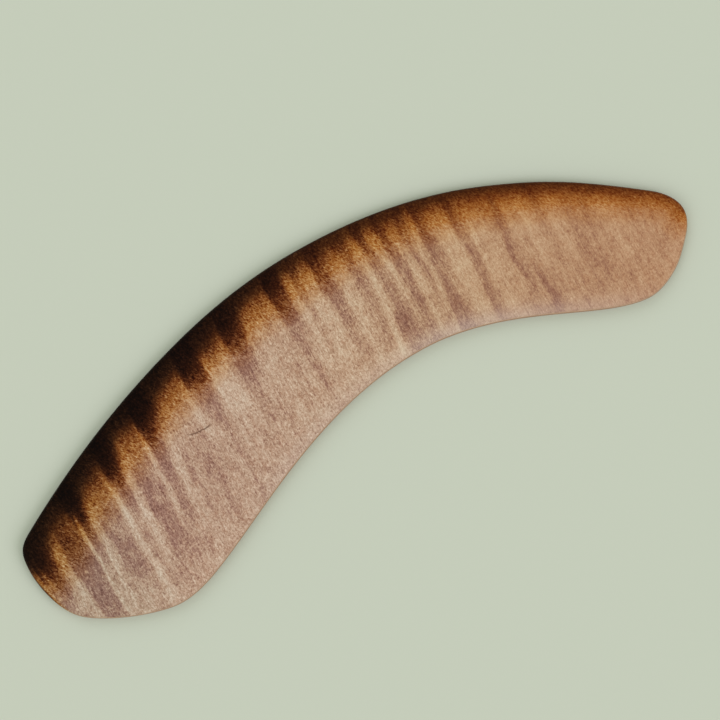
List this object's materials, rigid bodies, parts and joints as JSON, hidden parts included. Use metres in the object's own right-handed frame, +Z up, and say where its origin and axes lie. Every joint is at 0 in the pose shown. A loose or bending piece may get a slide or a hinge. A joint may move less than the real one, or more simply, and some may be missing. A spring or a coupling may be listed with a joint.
{
  "type": "boomerang",
  "caption": "Broad curved wooden throwing boomerang with a flat underside, a gently crowned face, rounded rim and scorched leading edge.",
  "frame": {"origin": "centre of the outline's box, on the flat underside", "axes": "+X along the chord from the left tip to the right tip, +Y towards the convex leading edge, +Z up out of the crowned face"},
  "size_m": [0.36, 0.1219, 0.008],
  "materials": {
    "figured_face_wood": "smooth satin oil finish, curly figure, scorched black to amber along the convex edge",
    "lengthwise_core_wood": "sanded rim showing long grain",
    "crosswise_core_wood": "sanded rim showing end grain",
    "back_wood": "smooth satin oil finish"
  },
  "bodies": {
    "root": {"face_lamina": "figured_face_wood", "core_ply_1": "lengthwise_core_wood", "core_ply_2": "crosswise_core_wood", "core_ply_3": "lengthwise_core_wood", "core_ply_4": "crosswise_core_wood", "core_ply_5": "lengthwise_core_wood", "core_ply_6": "crosswise_core_wood", "core_ply_7": "lengthwise_core_wood", "back_lamina": "back_wood"}
  },
  "joints": []
}
